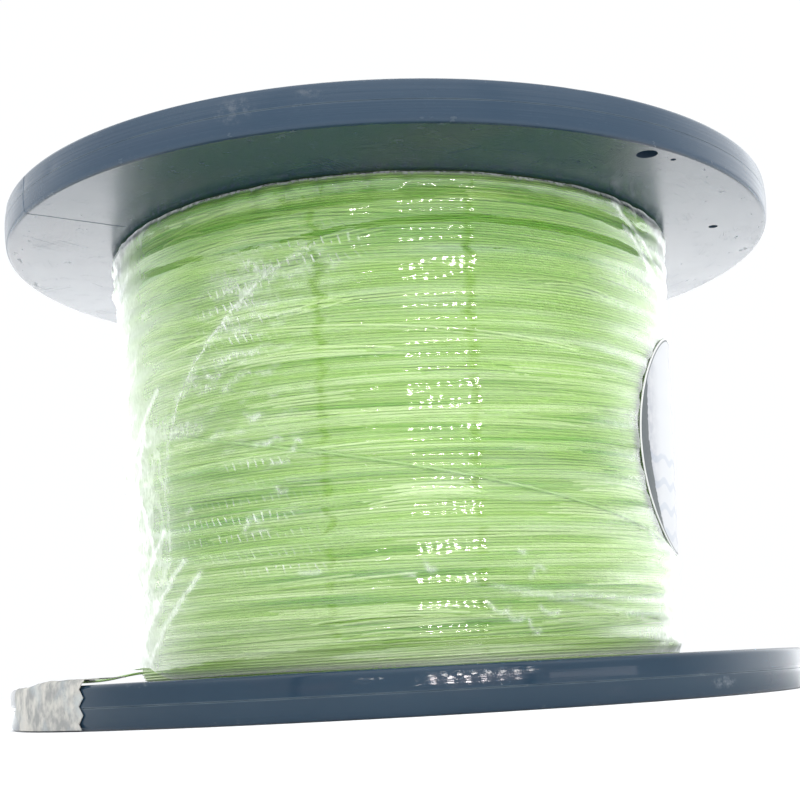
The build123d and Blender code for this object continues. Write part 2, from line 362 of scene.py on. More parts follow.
# ---------------------------------------------------------------- material helper
class Value:
    """What a node gives. Sums with it make the nodes that work them out."""

    def __init__(self, nodes, socket):
        self.nodes = nodes
        self.socket = socket

    def __add__(self, other):
        return self.nodes.math("ADD", self, other)

    def __sub__(self, other):
        return self.nodes.math("SUBTRACT", self, other)

    def __rsub__(self, other):
        return self.nodes.math("SUBTRACT", other, self)

    def __mul__(self, other):
        return self.nodes.math("MULTIPLY", self, other)

    def __truediv__(self, other):
        return self.nodes.math("DIVIDE", self, other)

    def __abs__(self):
        return self.nodes.math("ABSOLUTE", self)


class Nodes:
    """A node tree, added to by short calls. An input is a number, a colour or a Value."""

    def __init__(self, tree, surface):
        self.tree = tree
        self.surface = surface

    def give(self, made, socket, value):
        """Sets or links one input of a node."""
        if isinstance(value, Value):
            self.tree.links.new(value.socket, made.inputs[socket])
        elif isinstance(value, tuple) and made.inputs[socket].type == "RGBA":
            made.inputs[socket].default_value = (*value, 1)
        else:
            made.inputs[socket].default_value = value

    def link(self, socket, value):
        """Sets or links one input of the surface."""
        self.give(self.surface, socket, value)

    def add(self, kind, values, output=0, **settings):
        """A node with its settings and inputs, which gives one of its outputs."""
        made = self.tree.nodes.new(kind)
        for key, value in settings.items():
            setattr(made, key, value)
        for socket, value in values.items():
            self.give(made, socket, value)
        return Value(self, made.outputs[output])

    def place(self):
        """The point on the object, in metres."""
        return self.add("ShaderNodeTexCoord", {}, "Object")

    def swept(self, place):
        """A point's angle round the axis, its distance from it and its height, in one vector."""
        x, y, z = self.parts(place)
        turn = self.math("ARCTAN2", x, y * -1.0)
        reach = self.length(self.scaled(place, (1.0, 1.0, 0.0)))
        return self.add("ShaderNodeCombineXYZ", {0: turn, 1: reach, 2: z})

    def attribute(self, name):
        """A number kept at the mesh's points."""
        return self.add("ShaderNodeAttribute", {}, "Fac", attribute_name=name)

    def math(self, operation, first, second=0.0):
        """Arithmetic on numbers."""
        return self.add("ShaderNodeMath", {0: first, 1: second}, operation=operation)

    def wave(self, turns):
        """Goes from -1 to 1 and back with each whole turn."""
        return self.math("SINE", turns * (2 * math.pi))

    def scaled(self, vector, scale):
        """A vector with each part times its own number."""
        return self.add("ShaderNodeVectorMath", {0: vector, 1: scale}, operation="MULTIPLY")

    def length(self, vector):
        """How long a vector is."""
        return self.add("ShaderNodeVectorMath", {0: vector}, "Value", operation="LENGTH")

    def turned(self, vector, angle):
        """A vector turned about Z by an angle in degrees."""
        values = {"Vector": vector, "Rotation": (0.0, 0.0, math.radians(angle))}
        return self.add("ShaderNodeVectorRotate", values, rotation_type="EULER_XYZ")

    def noise(self, vector, scale, detail=3.0, roughness=0.5):
        """Soft random values from 0 to 1. The scale is one number, or one for each direction."""
        if isinstance(scale, tuple):
            vector = self.scaled(vector, scale)
            scale = 1.0
        values = {"Vector": vector, "Scale": scale, "Detail": detail, "Roughness": roughness}
        return self.add("ShaderNodeTexNoise", values)

    def specks(self, vector, scale):
        """The distance to scattered points, in cells."""
        return self.add("ShaderNodeTexVoronoi", {"Vector": vector, "Scale": scale}, "Distance")

    def step(self, value, low, high, start=0.0, end=1.0):
        """Goes smoothly from start to end as the value goes from low to high. Low may be the greater."""
        values = {"Value": value, "From Min": low, "From Max": high, "To Min": start, "To Max": end}
        return self.add("ShaderNodeMapRange", values, interpolation_type="SMOOTHSTEP")

    def mix(self, share, first, second):
        """A colour between two colours."""
        return self.add("ShaderNodeMix", {0: share, 6: first, 7: second}, 2, data_type="RGBA")

    def parts(self, vector):
        """The three numbers of a vector."""
        made = self.tree.nodes.new("ShaderNodeSeparateXYZ")
        self.give(made, 0, vector)
        return [Value(self, output) for output in made.outputs]

    def bump(self, height, strength, distance):
        """Small relief in the surface."""
        values = {"Height": height, "Strength": strength, "Distance": distance}
        self.link("Normal", self.add("ShaderNodeBump", values))


class Shader(Nodes):
    """A new material's nodes."""

    def __init__(self, name, values):
        self.material = bpy.data.materials.new(name)
        self.material.use_nodes = True
        tree = self.material.node_tree
        super().__init__(tree, tree.nodes["Principled BSDF"])
        for socket, value in values.items():
            self.link(socket, value)


# ---------------------------------------------------------------- flanges
RIM_WALL = 6.5
RIM_ROUNDING = 0.8
RIM_CROWN = 0.3
DISC_THICKNESS = 2.2
COVER_THICKNESS = 1.8
BARREL_RING = (31.0, 38.5)
HUB_RADIUS = 17.0
SLEEVE_RADIUS = 13.5
SLEEVE_LENGTH = 3.0
SEAT_DEPTH = 2.0
BARREL_WALL = 2.5
EDGE_ROUNDING = 0.3
SEAM_ROUNDING = 0.09
RIB_WIDTH = 2.0
RIB_SETBACK = 0.5
RIB_ROOT = 0.3
OUTER_RIBS = 12
INNER_RIBS = 6
DRIVE_HOLE_ANGLES = (180, 300, 60)
DRIVE_HOLE_RADIUS = 2.5
DRIVE_HOLE_REACH = 24.0
COLLAR_RADIUS = 4.6
TURN_STEPS = 384
ROUND_STEPS = 4
SHARP_ANGLE = 32.0
WORN_REACH = 60.0
CUTTER_CHAMFER = 0.01
# Marks in the upper flange's inner face: radius, distance from the axis and angles
TIE_HOLE = (1.8, 71.3, (37.0,))
PIN_MARK = (0.5, 72.1, (41.6,))
GATE_MARK = (0.9, 64.6, (75.7,))
MARK_STEPS = 32
MARK_DEPTH = 0.5
# Knocks in the rims: angle, height, half width and depth
RIM_NICKS = (
    (-49.0, 93.3, 0.9, 0.16), (-57.9, 94.2, 0.8, 0.14), (-72.0, 95.4, 1.2, 0.2), (24.0, 95.9, 0.8, 0.1),
    (118.0, 95.2, 1.0, 0.18), (203.0, 92.0, 0.9, 0.15), (-130.0, 1.2, 1.1, 0.2), (66.0, 0.9, 1.0, 0.15),
)
# Paler scuffed patches on the rims: angle, height, half width and half height
RIM_SCUFFS = (
    (-18.0, 93.4, 4.2, 2.6), (-9.0, 94.6, 3.0, 1.0), (-61.0, 93.0, 3.4, 1.8), (64.0, 94.2, 4.5, 1.6),
    (150.0, 92.6, 3.6, 2.2), (41.0, 2.2, 4.0, 1.2), (-150.0, 4.8, 3.5, 1.4),
)
HAIRLINE_ANGLE = -58.0


def rounded_outline(corners):
    """The points of a closed outline whose corners have roundings, and 1 where a point is on a rounding."""
    points = []
    worn = []
    for index, (reach, height, rounding) in enumerate(corners):
        corner = np.array([reach, height])
        before = np.array(corners[index - 1][:2]) - corner
        after = np.array(corners[(index + 1) % len(corners)][:2]) - corner
        before = before / np.linalg.norm(before)
        after = after / np.linalg.norm(after)
        if rounding == 0:
            points.append(corner)
            worn.append(0)
            continue
        half = math.acos(np.clip(before @ after, -1, 1)) / 2
        bisector = (before + after) / np.linalg.norm(before + after)
        centre = corner + bisector * rounding / math.sin(half)
        start = corner + before * rounding / math.tan(half) - centre
        end = corner + after * rounding / math.tan(half) - centre
        sweep = math.pi - 2 * half
        for step in range(ROUND_STEPS + 1):
            share = step / ROUND_STEPS
            spoke = math.sin((1 - share) * sweep) * start + math.sin(share * sweep) * end
            points.append(centre + spoke / math.sin(sweep))
            worn.append(1)
    return np.array(points), np.array(worn)


def turned_mesh(name, corners):
    """A closed solid turned from an outline about the axis, with its worn outer edges marked."""
    outline, worn = rounded_outline(corners)
    angle = np.arange(TURN_STEPS) * 360 / TURN_STEPS
    points = around(angle[None, :], outline[:, :1], outline[:, 1:])
    faces = grid_faces(len(outline), TURN_STEPS, wrap_rows=True, wrap_columns=True)
    piece = add_mesh(name, points, faces)
    set_attribute(piece, "edge_wear", np.repeat(worn * (outline[:, 0] > WORN_REACH), TURN_STEPS))
    fix_normals(piece)
    return piece


def upright_prisms(name, sections, low, high, chamfer):
    """Upright columns from flat outlines, with a chamfer round the foot."""
    points = []
    faces = []
    for section in sections:
        middle = section.mean(0)
        spread = np.linalg.norm(section - middle, axis=1, keepdims=True)
        narrow = middle + (section - middle) * (1 - chamfer / spread)
        count = len(section)
        start = len(points)
        for ring, height in ((narrow, low), (section, low + chamfer), (section, high)):
            points.extend([(x, y, height) for x, y in ring])
        for level in (0, count):
            for corner in range(count):
                following = (corner + 1) % count
                faces.append((start + level + corner, start + level + following,
                              start + level + count + following, start + level + count + corner))
        faces.append(tuple(range(start, start + count)))
        faces.append(tuple(range(start + 2 * count, start + 3 * count)))
    piece = add_mesh(name, points, faces)
    fix_normals(piece)
    return piece


def discs(radius, reach, angles, steps=40):
    """Round flat outlines with their middles at a distance from the axis, at angles in degrees."""
    turns = [2 * math.pi * step / steps for step in range(steps)]
    outline = np.array([(radius * math.cos(turn), radius * math.sin(turn)) for turn in turns])
    return [around(angle, reach, 0.0)[:2] + outline for angle in angles]


def rib_outline(inner, outer, turn):
    """A rib's flat outline, along a direction in degrees from +X."""
    along = np.array([math.cos(math.radians(turn)), math.sin(math.radians(turn))])
    across = np.array([-along[1], along[0]]) * RIB_WIDTH / 2
    near = along * inner
    far = along * outer
    return np.array([near - across, far - across, far + across, near + across])


def apply_modifiers(piece):
    """The piece's mesh becomes what its modifiers make of it."""
    ready = piece.evaluated_get(bpy.context.evaluated_depsgraph_get())
    result = bpy.data.meshes.new_from_object(ready)
    piece.modifiers.clear()
    piece.data = result


def combine(piece, other, operation):
    """Joins another solid to a piece or cuts it out, and removes the other."""
    change = piece.modifiers.new("combine", "BOOLEAN")
    change.object = other
    change.operation = operation
    change.solver = "EXACT"
    apply_modifiers(piece)
    bpy.data.objects.remove(other)


def settle_shading(piece):
    """Sharp edges stay sharp, and flat faces stay flat beside their rounded edges."""
    piece.data.shade_smooth()
    piece.data.set_sharp_from_angle(angle=math.radians(SHARP_ANGLE))
    weigh = piece.modifiers.new("weigh", "WEIGHTED_NORMAL")
    weigh.keep_sharp = True
    apply_modifiers(piece)


def spokes(inner, outer, count):
    """Flat outlines of ribs, evenly round the axis, that reach 1 mm into the walls at both ends."""
    return [rib_outline(inner - 1, outer + 1, index * 360 / count) for index in range(count)]


def bore(piece, outlines, low, high):
    """Cuts upright holes with these outlines."""
    combine(piece, upright_prisms("cutter", outlines, low, high, CUTTER_CHAMFER), "DIFFERENCE")


def add_ribs(half, ribs, low, high, chamfer):
    """A flange half gets its ribs and the drive holes with their collars."""
    collars = discs(COLLAR_RADIUS, DRIVE_HOLE_REACH, DRIVE_HOLE_ANGLES)
    combine(half, upright_prisms("ribs", ribs + collars, low, high, chamfer), "UNION")
    bore(half, discs(DRIVE_HOLE_RADIUS, DRIVE_HOLE_REACH, DRIVE_HOLE_ANGLES), -1.0, RIM_HEIGHT + 1)


def rim_crown(height):
    """How far the rim's wall draws in above and below the seam."""
    return RIM_CROWN * ((height - SEAM_HEIGHT) / SEAM_HEIGHT) ** 2


def inner_disc(name):
    """The flange half that the line bears on, as it sits on the lower flange."""
    back = RIM_HEIGHT - DISC_THICKNESS
    seat = RIM_HEIGHT - SEAT_DEPTH
    rim_inner = FLANGE_RADIUS - RIM_WALL
    small = EDGE_ROUNDING / 2
    disc = turned_mesh(name, [
        (ARBOR_RADIUS, SEAM_HEIGHT, 0),
        (HUB_RADIUS, SEAM_HEIGHT, small), (HUB_RADIUS, back, small),
        (BARREL_RING[0], back, small), (BARREL_RING[0], SEAM_HEIGHT, small),
        (BARREL_RING[1], SEAM_HEIGHT, small), (BARREL_RING[1], back, small),
        (rim_inner, back, small), (rim_inner, SEAM_HEIGHT, small),
        (FLANGE_RADIUS, SEAM_HEIGHT, SEAM_ROUNDING),
        *[(FLANGE_RADIUS - rim_crown(height), height, 0) for height in (4.2, 4.7, 5.2, 5.7, 6.1)],
        (FLANGE_RADIUS - rim_crown(RIM_HEIGHT), RIM_HEIGHT, RIM_ROUNDING),
        (BARREL_RADIUS, RIM_HEIGHT, 0), (BARREL_RADIUS, seat, 0),
        (BARREL_RADIUS - BARREL_WALL, seat, 0), (BARREL_RADIUS - BARREL_WALL, RIM_HEIGHT, 0),
        (SLEEVE_RADIUS, RIM_HEIGHT, small), (SLEEVE_RADIUS, RIM_HEIGHT + SLEEVE_LENGTH, EDGE_ROUNDING),
        (ARBOR_RADIUS, RIM_HEIGHT + SLEEVE_LENGTH, small),
    ])
    ribs = spokes(BARREL_RING[1], rim_inner, OUTER_RIBS)
    add_ribs(disc, ribs, SEAM_HEIGHT + 0.05, back + RIB_ROOT, small)
    return disc


def outer_cover(name):
    """The flange half with the outer face, as it sits on the lower flange."""
    rim_inner = FLANGE_RADIUS - RIM_WALL
    face = SEAM_HEIGHT - COVER_THICKNESS
    cover = turned_mesh(name, [
        (ARBOR_RADIUS, 0, EDGE_ROUNDING / 2),
        (HUB_RADIUS, 0, EDGE_ROUNDING), (HUB_RADIUS, face, EDGE_ROUNDING),
        (BARREL_RING[0], face, EDGE_ROUNDING), (BARREL_RING[0], 0, EDGE_ROUNDING),
        (BARREL_RING[1], 0, EDGE_ROUNDING), (BARREL_RING[1], face, EDGE_ROUNDING),
        (rim_inner, face, EDGE_ROUNDING), (rim_inner, 0, EDGE_ROUNDING),
        (FLANGE_RADIUS - rim_crown(0), 0, RIM_ROUNDING),
        *[(FLANGE_RADIUS - rim_crown(height), height, 0) for height in (1.2, 1.6, 2.1, 2.6, 3.1)],
        (FLANGE_RADIUS, SEAM_HEIGHT, SEAM_ROUNDING),
        (ARBOR_RADIUS, SEAM_HEIGHT, 0),
    ])
    ribs = spokes(BARREL_RING[1], rim_inner, OUTER_RIBS) + spokes(HUB_RADIUS, BARREL_RING[0], INNER_RIBS)
    add_ribs(cover, ribs, RIB_SETBACK, face + RIB_ROOT, EDGE_ROUNDING)
    return cover


def turned_over(piece, name):
    """A copy on the upper flange, turned about Y so that the drive holes stay in line."""
    copy = bpy.data.objects.new(name, piece.data.copy())
    SCENE.collection.objects.link(copy)
    lift = Matrix.Translation((0, 0, HEIGHT * MM))
    copy.data.transform(lift @ Matrix.Rotation(math.pi, 4, "Y"))
    return copy


def knock(piece):
    """Small knocks in the rim, where the wall is pushed in."""
    mesh = piece.data
    points = np.zeros(len(mesh.vertices) * 3)
    mesh.vertices.foreach_get("co", points)
    points = points.reshape(-1, 3) / MM
    reach = np.hypot(points[:, 0], points[:, 1])
    angle = np.degrees(np.arctan2(points[:, 0], -points[:, 1]))
    pushed = np.zeros(len(points))
    for nick_angle, height, width, depth in RIM_NICKS:
        across = ((angle - nick_angle + 180) % 360 - 180) * math.pi / 180 * FLANGE_RADIUS
        away = np.hypot(across, points[:, 2] - height)
        pushed += depth * bell(away, width)
    pushed *= reach > FLANGE_RADIUS - RIM_ROUNDING - RIM_CROWN - 0.1
    points[:, :2] *= ((reach - pushed) / np.maximum(reach, 1e-6))[:, None]
    mesh.vertices.foreach_set("co", (points * MM).ravel())
    mesh.update()


def flange_plastic():
    """Dark slate-blue moulded plastic: satin, scuffed and dusty, with a pale parting line round the rim,
    and painted light that makes the upper rim lighter.
    """
    plastic = Shader("flange_plastic_worn", {"IOR": 1.45, "Specular IOR Level": 0.3})
    place = plastic.place()
    x, y, _ = plastic.parts(place)
    # Scratches follow the way the spool has been rolled and handled: round it, out from it and up it.
    swept = plastic.swept(place)
    turn, reach, z = plastic.parts(swept)

    mottling = plastic.noise(place, 45.0, 5.0, 0.6)
    colour = plastic.mix(mottling, (0.009, 0.023, 0.041), (0.018, 0.038, 0.061))
    bloom = plastic.step(plastic.noise(swept, (2.2, 60.0, 160.0)), 0.5, 0.72)
    colour = plastic.mix(bloom * 0.3, colour, (0.06, 0.052, 0.064))

    on_rim = plastic.step(reach, (FLANGE_RADIUS - 0.7) * MM, (FLANGE_RADIUS - 0.4) * MM)
    # Painted light: the upper rim's colour is made lighter than the lower rim's, for brightness that its
    # reflection doesn't give.
    painted_upper_rim_light = on_rim * plastic.step(z, 40 * MM, 60 * MM, 0.05, 0.8)
    colour = plastic.mix(painted_upper_rim_light, colour, (0.035, 0.062, 0.098))
    seam = plastic.math("MINIMUM", abs(z - SEAM_HEIGHT * MM), abs(z - (HEIGHT - SEAM_HEIGHT) * MM))
    seam = plastic.step(seam, 0.22 * MM, 0.1 * MM) * on_rim
    seam = seam * plastic.step(plastic.noise(swept, (9.0, 1.0, 1.0), 4.0), 0.3, 0.6, 0.25, 1.0)
    colour = plastic.mix(seam * 0.4, colour, (0.09, 0.12, 0.14))

    rubbed = plastic.noise(swept, (18.0, 350.0, 350.0), 4.0, 0.65)
    wear = plastic.step(plastic.attribute("edge_wear") * 0.1 + rubbed, 0.72, 0.82)
    colour = plastic.mix(wear * 0.4, colour, (0.11, 0.135, 0.15))

    patchy = plastic.step(plastic.noise(place, 700.0, 4.0, 0.7), 0.42, 0.7) * on_rim
    for angle, height, wide, tall in RIM_SCUFFS:
        away = (turn - math.radians(angle)) * (FLANGE_RADIUS / wide)
        above = (z - height * MM) / (tall * MM)
        scuffed = plastic.step(away * away + above * above, 1.0, 0.1) * patchy
        colour = plastic.mix(scuffed * 0.75, colour, (0.1, 0.12, 0.145))

    dust = plastic.step(plastic.specks(place, 230.0), 0.05, 0.022)
    dust = dust * plastic.step(plastic.noise(place, 38.0, 2.0), 0.52, 0.66)
    colour = plastic.mix(dust * 0.6, colour, (0.35, 0.38, 0.37))
    plastic.link("Base Color", colour)

    # Hairlines round the spool, and two families of straight ones across its faces.
    families = (
        plastic.noise(swept, (6.0, 5200.0, 5200.0), 2.0),
        plastic.noise(plastic.turned(place, 37), (900.0, 14.0, 900.0), 1.0),
        plastic.noise(plastic.turned(place, -64), (1200.0, 20.0, 1200.0), 1.0),
    )
    rolled, crossing, other = [plastic.step(abs(family - 0.5), 0.014, 0.004) for family in families]
    sparse = plastic.step(plastic.noise(place, 70.0, 2.0), 0.56, 0.74, 0.0, 0.6)
    scratches = plastic.math("MAXIMUM", crossing, other) * sparse
    scratches = plastic.math("MAXIMUM", scratches, rolled * 0.15)

    # One long hairline runs out to the rim on the upper flange's inner face.
    hair = math.radians(HAIRLINE_ANGLE)
    waver = plastic.noise(place, 90.0, 1.0) * (0.9 * MM) - 0.45 * MM
    offset = x * math.cos(hair) + y * math.sin(hair) + waver
    hairline = plastic.step(abs(offset), 0.24 * MM, 0.1 * MM)
    hairline = hairline * plastic.step(x * math.sin(hair) - y * math.cos(hair), 56 * MM, 58 * MM)
    hairline = hairline * plastic.step(z, (WOUND_HIGH - 0.5) * MM, (WOUND_HIGH - 0.2) * MM)

    # The lower rim is polished, and the upper one is dull.
    polished = on_rim * plastic.step(z, 60 * MM, 40 * MM)
    rough = plastic.noise(place, 130.0, 4.0, 0.7) * plastic.step(polished, 0.0, 1.0, 0.16, 0.1)
    rough = rough + plastic.step(polished, 0.0, 1.0, 0.15, 0.0)
    plastic.link("Roughness", rough + scratches * 0.25 + wear * 0.2 + hairline * 0.5)
    lathed = plastic.noise(swept, (1.5, 0.0, 1900.0), 2.0) * plastic.step(polished, 0.0, 1.0, 12.0, 2.5)
    grain = plastic.noise(place, 2600.0, 2.0) * 0.25 - scratches - hairline * 3.0 + on_rim * lathed
    plastic.bump(grain, 0.25, 0.02 * MM)
    return plastic.material


def make_flanges():
    """Both flanges, each of two halves that meet at the seam."""
    material = flange_plastic()
    lower_disc = inner_disc("lower_flange_disc")
    lower_cover = outer_cover("lower_flange_cover")
    upper_disc = turned_over(lower_disc, "upper_flange_disc")
    upper_cover = turned_over(lower_cover, "upper_flange_cover")
    for half in (upper_disc, upper_cover):
        bore(half, discs(*TIE_HOLE, MARK_STEPS), WOUND_HIGH - 1, HEIGHT + 1)
    marks = discs(*PIN_MARK, MARK_STEPS) + discs(*GATE_MARK, MARK_STEPS)
    bore(upper_disc, marks, WOUND_HIGH - 1, WOUND_HIGH + MARK_DEPTH)
    pairs = ((lower_disc, "lower_inner_disc"), (lower_cover, "lower_outer_cover"),
             (upper_disc, "upper_inner_disc"), (upper_cover, "upper_outer_cover"))
    for piece, node in pairs:
        knock(piece)
        settle_shading(piece)
        own(piece, "flange_plastic", material, node)


# ---------------------------------------------------------------- the wound line
STEPS_PER_TURN = 144
LINE_SIDES = 6
TURN_PITCH = 0.446
TURN_SINK = 0.42
CORE_SINK = 0.46
CORE_STEPS = 240
CORE_ROWS = 160
CROSSINGS = 270
TURN_MARGIN = 0.06
STRAND_GAP = 0.44
CROSSING_TUCK = 0.35
CROSSING_STEP = 2.5
CROSSING_MARGIN = 0.4
POINTED_END = 0.02
# Every so many groups of crossing turns one is steep, long, or high up at the front's left
STEEP_EVERY = 5
LONG_EVERY = 6
HIGH_EVERY = 10
SWELL_SEED = 5
SWAY_SEED = 6
TURNS_SEED = 11
CROSSINGS_SEED = 12
LIME_DEEP = (0.21, 0.48, 0.06)
LIME_MIDDLE = (0.435, 0.67, 0.18)
LIME_PALE = (0.69, 0.86, 0.45)


def shoulder_drop(height):
    """How much the winding falls in beside each flange."""
    near = np.minimum(height - WOUND_LOW, WOUND_HIGH - height)
    return np.maximum(0, WINDING_SHOULDER - near) * 0.4


def line_points(angle, reach, height, thickness):
    """The points of round tubes whose centrelines go round the spool, with one ring at each step."""
    turn = 2 * math.pi * np.arange(LINE_SIDES) / LINE_SIDES
    half = thickness[..., None] / 2
    reach = reach[..., None] + half * np.cos(turn)
    return around(angle[..., None], reach, height[..., None] + half * np.sin(turn))


def winding_swell(angle, height):
    """How the layers below lift or sink the outer turns."""
    rng = np.random.default_rng(SWELL_SEED)
    broad = wave_field(rng, angle, height, 7, 3, 14.0)
    narrow = wave_field(rng, angle, height, 9, 6, 3.2)
    return 0.07 * broad + 0.05 * narrow


def winding_sway(angle, height):
    """How the outer turns bunch and spread along the spool."""
    rng = np.random.default_rng(SWAY_SEED)
    broad = wave_field(rng, angle, height, 6, 3, 12.0)
    narrow = wave_field(rng, angle, height, 8, 7, 4.0)
    edge = ease(np.minimum(height - WOUND_LOW, WOUND_HIGH - height), 0.5, 5.0)
    return (0.3 * broad + 0.1 * narrow) * edge


def painted_light_and_shade_trend(height):
    """Painted light and shade on the line: its tone is made darker towards the top, as painted shade under
    the upper flange, and paler low down, most at the foot, as painted light against the lower flange's
    shade.
    """
    return 0.35 * ease(height, 12.0, 8.0) + 0.12 * ease(height, 34.0, 14.0) - 0.3 * ease(height, 66.0, 86.0)


def tone_contrast(height):
    """The runs of colour differ most low down."""
    return 1.3 - 0.8 * ease(height, 20.0, 72.0)


def make_turns(material):
    """The outermost layer: one long line laid turn beside turn from the bottom to the top."""
    rng = np.random.default_rng(TURNS_SEED)
    low = WOUND_LOW + LINE_DIAMETER / 2 + TURN_MARGIN
    high = WOUND_HIGH - LINE_DIAMETER / 2 - TURN_MARGIN
    turns = int((high - low) / TURN_PITCH)
    count = turns * STEPS_PER_TURN + 1
    step = np.arange(count)
    angle = step * 360 / STEPS_PER_TURN
    height = low + (high - low) * step / (count - 1)
    height += 0.08 * smooth_noise(rng, count, 9) + winding_sway(angle, height)
    height = np.clip(height, low, high)
    reach = wound_radius(height) - TURN_SINK - shoulder_drop(height)
    reach += 0.06 * smooth_noise(rng, count, 13) + winding_swell(angle, height)
    tone = 0.14 * smooth_noise(rng, count, 31) + 0.1 * smooth_noise(rng, count, 8)
    tone += 0.22 * wave_field(rng, angle, height, 18, 7, 1.5)
    tone += 0.07 * wave_field(rng, angle, height, 8, 3, 12.0)
    # The height trend adds painted shade near the top and painted light low down.
    tone = 0.5 + tone * tone_contrast(height) + painted_light_and_shade_trend(height)
    points = line_points(angle, reach, height, np.full(count, LINE_DIAMETER))
    half = (turns // 2) * STEPS_PER_TURN
    for name, first, last in (("line_turns_low", 0, half + 1), ("line_turns_high", half, count)):
        part = points[first:last]
        piece = add_mesh(name, part, grid_faces(len(part), LINE_SIDES, wrap_columns=True))
        close_ends(piece, len(part))
        set_attribute(piece, "tone", np.repeat(tone[first:last], LINE_SIDES))
        own(piece, "line_nylon", material)


def close_ends(piece, rings):
    """Faces over the two open ends of a tube."""
    work = bmesh.new()
    work.from_mesh(piece.data)
    work.verts.ensure_lookup_table()
    for ring in (0, rings - 1):
        corners = [work.verts[ring * LINE_SIDES + side] for side in range(LINE_SIDES)]
        work.faces.new(corners if ring else corners[::-1])
    work.to_mesh(piece.data)
    work.free()
    piece.data.shade_smooth()


def make_crossings(material):
    """Short groups of turns that cross over their neighbours at a slight slant and dive under again."""
    rng = np.random.default_rng(CROSSINGS_SEED)
    points = []
    faces = []
    tones = []
    total = 0
    for group in range(CROSSINGS):
        steep = group % STEEP_EVERY == 0
        long = group % LONG_EVERY == 1
        high = group % HIGH_EVERY == 0
        middle = rng.uniform(-60, 5) if high else rng.uniform(0, 360)
        height_middle = rng.uniform(WOUND_LOW + 4, WOUND_HIGH - 4)
        if high:
            height_middle = rng.uniform(WOUND_HIGH - 30, WOUND_HIGH - 3)
        reach_half = rng.uniform(30, 70) if long else rng.uniform(7, 24)
        slant = rng.normal(0, 0.05 if steep else 0.014)
        bow = rng.normal(0, 0.4)
        count = int(rng.integers(1, 4)) if steep else int(rng.integers(1, 6))
        lift = rng.uniform(0.12, 0.3)
        group_tone = rng.uniform(-0.4, 0.35)
        for strand in range(count):
            own_half = reach_half * rng.uniform(0.75, 1.0)
            steps = max(8, int(own_half * 2 / CROSSING_STEP))
            share = np.linspace(-1, 1, steps)
            angle = middle + rng.uniform(-4, 4) + share * own_half
            height = height_middle + strand * STRAND_GAP + slant * share * own_half + bow * (1 - share**2)
            height += 0.08 * smooth_noise(rng, steps, 7) + winding_sway(angle, height)
            height = np.clip(height, WOUND_LOW + CROSSING_MARGIN, WOUND_HIGH - CROSSING_MARGIN)
            rise = ease(1 - np.abs(share), 0.0, 0.3)
            reach = wound_radius(height) - TURN_SINK - CROSSING_TUCK - shoulder_drop(height)
            reach += (CROSSING_TUCK + lift) * rise + 0.04 * smooth_noise(rng, steps, 9)
            reach += winding_swell(angle, height)
            thickness = np.full(steps, LINE_DIAMETER)
            thickness[[0, -1]] = POINTED_END
            tone = group_tone + 0.2 * smooth_noise(rng, steps, 12) + 0.12 * (strand % 2)
            # The height trend adds painted shade near the top and painted light low down.
            tone = 0.6 + tone * tone_contrast(height) + painted_light_and_shade_trend(height)
            rings = line_points(angle, reach, height, thickness)
            points.append(rings.reshape(-1, 3))
            faces.append(grid_faces(steps, LINE_SIDES, wrap_columns=True) + total)
            tones.append(np.repeat(tone, LINE_SIDES))
            total += steps * LINE_SIDES
    piece = add_mesh("line_crossings", np.concatenate(points), np.concatenate(faces))
    set_attribute(piece, "tone", np.concatenate(tones))
    own(piece, "line_nylon", material)


def make_core(material):
    """The layers below, which close every gap between the outer turns and swell with them."""
    angle = np.arange(CORE_STEPS)[None, :] * 360 / CORE_STEPS
    height = np.linspace(WOUND_LOW + 0.02, WOUND_HIGH - 0.02, CORE_ROWS)[:, None]
    reach = wound_radius(height) - CORE_SINK - shoulder_drop(height) + winding_swell(angle, height)
    inside = BARREL_RADIUS + 0.25
    skin = around(angle, reach, height)
    rings = [around(angle, inside, height[:1]), skin, around(angle, inside, height[-1:])]
    core = add_mesh("line_core", np.concatenate(rings),
                    grid_faces(CORE_ROWS + 2, CORE_STEPS, wrap_rows=True, wrap_columns=True))
    fix_normals(core)
    core.data.set_sharp_from_angle(angle=math.radians(45))
    set_attribute(core, "tone", np.full(len(core.data.vertices), 0.4))
    own(core, "line_nylon", material, "line_winding")


def line_nylon():
    """Bright lime monofilament: a waxy, slightly see-through plastic with lighter and darker runs."""
    line = Shader("lime_monofilament", {"Roughness": 0.34, "IOR": 1.5})
    place = line.place()
    tone = line.attribute("tone") - 0.15 + line.noise(place, (60.0, 60.0, 900.0)) * 0.3
    dark = line.mix(line.step(tone, 0.0, 0.45), LIME_DEEP, LIME_MIDDLE)
    line.link("Base Color", line.mix(line.step(tone, 0.4, 1.0), dark, LIME_PALE))
    line.bump(line.noise(place, 5000.0, 2.0), 0.1, 0.02 * MM)
    return line.material


def make_winding():
    """The wound line: a core, the outermost layer and the turns that cross over it."""
    material = line_nylon()
    make_core(material)
    make_turns(material)
    make_crossings(material)


# ---------------------------------------------------------------- stretch film
FILM_COLUMNS = 460
FILM_ROWS = 200
FILM_STAND_OFF = 0.79
FILM_RIPPLE = 4.8
FILM_CROWDING = 0.42
FILM_MOST_MILKY = 0.92
FILM_SEED = 21
# The round label lies over the film
LABEL_RADIUS = 21.0
LABEL_THICKNESS = 0.14
LABEL_ANGLE = 75.0
LABEL_HEIGHT = 46.5
LABEL_STAND_OFF = 1.02
LABEL_RINGS = 60
LABEL_HUB = 0.002
LABEL_SPOKES = 160
LABEL_SEED = 31
# The film's folded edge sweeps down the left of the front: angle and height of its corners
FOLD_EDGE = (
    (8.0, 83.5), (-8.0, 80.3), (-22.0, 74.2), (-34.4, 65.7),
    (-45.7, 55.3), (-51.0, 42.0), (-48.7, 27.8), (-60.0, 18.0),
)
